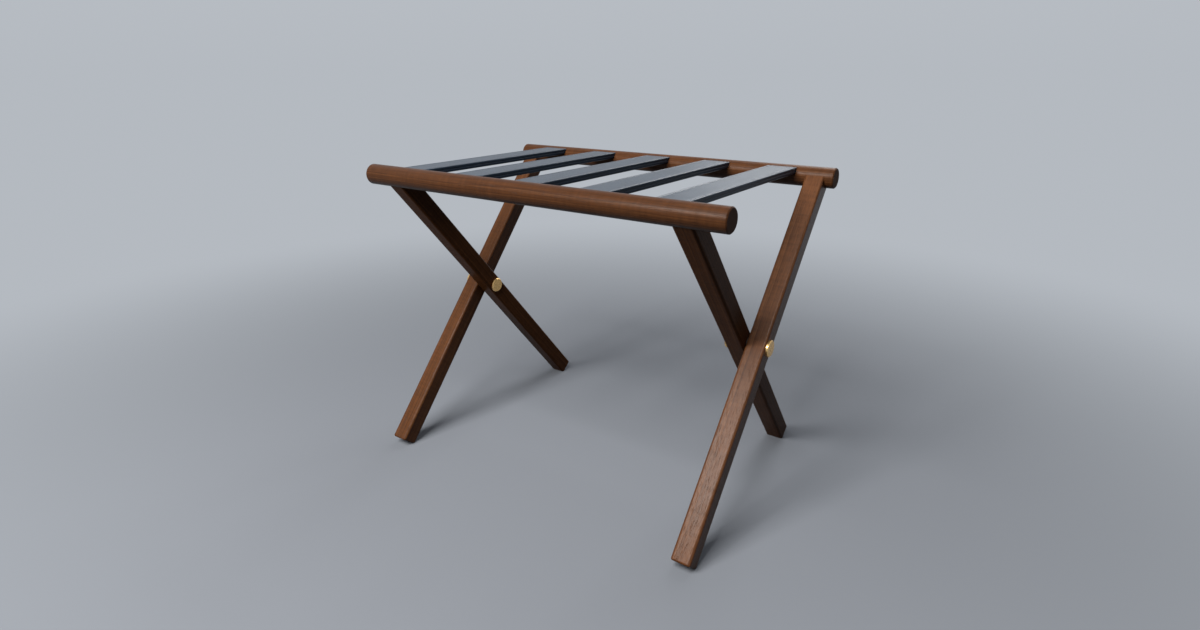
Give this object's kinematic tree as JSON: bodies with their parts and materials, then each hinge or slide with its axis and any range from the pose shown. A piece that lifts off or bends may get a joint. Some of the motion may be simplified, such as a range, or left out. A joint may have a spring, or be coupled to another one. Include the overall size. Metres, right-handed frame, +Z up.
{
  "type": "folding luggage rack",
  "caption": "Folding hotel luggage rack: two crossed walnut frames with round rails, brass pivots and dark navy webbing straps laid from rail to rail.",
  "frame": {"origin": "on the floor, in the middle between the four feet", "axes": "+X along the rails to the right, +Y from the front rail to the back rail, +Z up; the front is -Y"},
  "size_m": [0.65, 0.4568, 0.5115],
  "materials": {
    "walnut": "dark walnut, satin lacquer",
    "beech": "plain, glued in",
    "webbing": "tight navy weave with a slight sheen",
    "brass": "satin, bevelled rim",
    "nylon": "plain black"
  },
  "bodies": {
    "front_frame": {"front_rail": "walnut", "front_left_leg": "walnut", "front_right_leg": "walnut", "front_left_dowel": "beech", "front_right_dowel": "beech", "left_outer_strap": "webbing", "left_inner_strap": "webbing", "centre_strap": "webbing", "right_inner_strap": "webbing", "right_outer_strap": "webbing", "left_pivot_post": "brass", "right_pivot_post": "brass", "left_pivot_screw": "brass", "right_pivot_screw": "brass", "left_pivot_washer": "nylon", "right_pivot_washer": "nylon"},
    "back_frame": {"back_rail": "walnut", "back_left_leg": "walnut", "back_right_leg": "walnut", "back_left_dowel": "beech", "back_right_dowel": "beech"}
  },
  "joints": [
    {"name": "fold", "type": "hinge", "parent": "front_frame", "child": "back_frame", "pos_m": [0, 0, 0.264], "axis": [1, 0, 0], "range_deg": [0, 70], "deforming": ["left_outer_strap", "left_inner_strap", "centre_strap", "right_inner_strap", "right_outer_strap"]}
  ]
}
